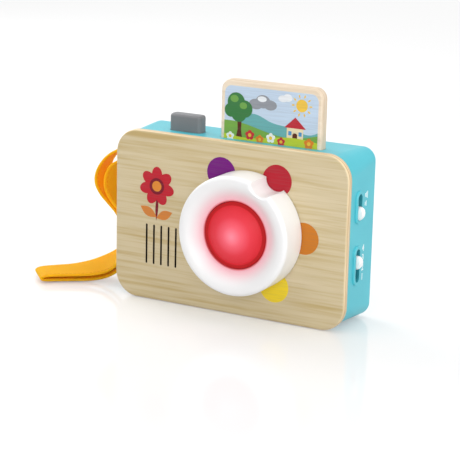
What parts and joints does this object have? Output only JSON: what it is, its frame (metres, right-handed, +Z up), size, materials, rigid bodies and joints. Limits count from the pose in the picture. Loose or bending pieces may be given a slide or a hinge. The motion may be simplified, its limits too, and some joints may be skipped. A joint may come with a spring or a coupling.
{
  "type": "toy camera",
  "caption": "Wooden-faced toy camera with a turning selector dial round a lamp dome, a shutter button, a sliding picture board, side switches and a wrist strap.",
  "frame": {"origin": "middle of the front panel's bottom edge, at half the panel's thickness", "axes": "+X to the right seen from the front, +Y from the panel to the shell's back, +Z up"},
  "size_m": [0.2138, 0.06, 0.1343],
  "materials": {
    "wood": "bamboo-faced wood, satin lacquer",
    "shell_plastic": "moulded, satin",
    "dial_plastic": "moulded, soft gloss",
    "dome_red": "translucent diffuser",
    "button_grey": "moulded, satin",
    "knob_white": "moulded",
    "strap_fabric": "woven webbing",
    "foot_rubber": "soft pad",
    "screw_steel": "zinc plated",
    "switch_body": "moulded, dark",
    "basket_steel": "pressed sheet",
    "print_ink": "printed ink in several colours",
    "circuit_board": "solder mask",
    "black_plastic": "moulded",
    "cone_paper": "pressed paper",
    "foam": "foam",
    "felt": "felt",
    "contact_brass": "sprung sheet",
    "lamp_glass": "clear epoxy",
    "cell_jacket": "plain sleeve",
    "magnet_iron": "ferrite",
    "inner_plastic": "moulded",
    "lead_jacket": "insulated wire"
  },
  "bodies": {
    "body": {"front_panel": "wood", "rear_shell": "shell_plastic", "battery_door": "shell_plastic", "dial_hub": "dial_plastic", "lamp_reflector": "dial_plastic", "lens_dome": "dome_red", "wrist_strap": "strap_fabric", "rear_feet": "foot_rubber", "case_screws": "screw_steel", "hub_screws": "screw_steel", "speaker_screws": "screw_steel", "cradle_screws": "screw_steel", "side_screws": "screw_steel", "main_screws": "screw_steel", "door_screws": "screw_steel", "strap_bar": "screw_steel", "shutter_springs": "screw_steel", "volume_switch": "switch_body", "mode_switch": "switch_body", "speaker_basket": "basket_steel", "selector_board": "circuit_board", "lamp_board": "circuit_board", "shutter_board": "circuit_board", "side_board": "circuit_board", "main_board": "circuit_board", "sound_chip": "black_plastic", "shutter_switch": "black_plastic", "speaker_cone": "cone_paper", "speaker_gasket": "foam", "brake_pads": "felt", "battery_contacts": "contact_brass", "lamp": "lamp_glass", "battery_cells": "cell_jacket", "speaker_magnet": "magnet_iron", "picture_cradle": "inner_plastic", "lead_sockets": "inner_plastic", "leads": "lead_jacket"},
    "dial": {"dial_ring": "dial_plastic", "dial_carrier": "dial_plastic", "carrier_screws": "screw_steel", "selector_wiper": "contact_brass"},
    "shutter": {"shutter_button": "button_grey"},
    "picture": {"picture_board": "wood", "stop_pins": "screw_steel"},
    "volume": {"volume_knob": "knob_white"},
    "mode": {"mode_knob": "knob_white"}
  },
  "joints": [
    {"name": "dial_turn", "type": "hinge", "parent": "body", "child": "dial", "pos_m": [0.0132, 0, 0.0515], "axis": [0, 1, 0], "continuous": true},
    {"name": "shutter_press", "type": "slide", "parent": "body", "child": "shutter", "axis": [0, 0, -1], "range_m": [0, 0.003], "stiffness_N_per_m": 400, "springref_m": -0.002, "deforming": ["shutter_springs"]},
    {"name": "picture_slide", "type": "slide", "parent": "body", "child": "picture", "axis": [0, 0, -1], "range_m": [0, 0.03]},
    {"name": "volume_slide", "type": "slide", "parent": "body", "child": "volume", "axis": [0, 0, 1], "range_m": [0, 0.0069]},
    {"name": "mode_slide", "type": "slide", "parent": "body", "child": "mode", "axis": [0, 0, 1], "range_m": [-0.0072, 0.0036]}
  ]
}
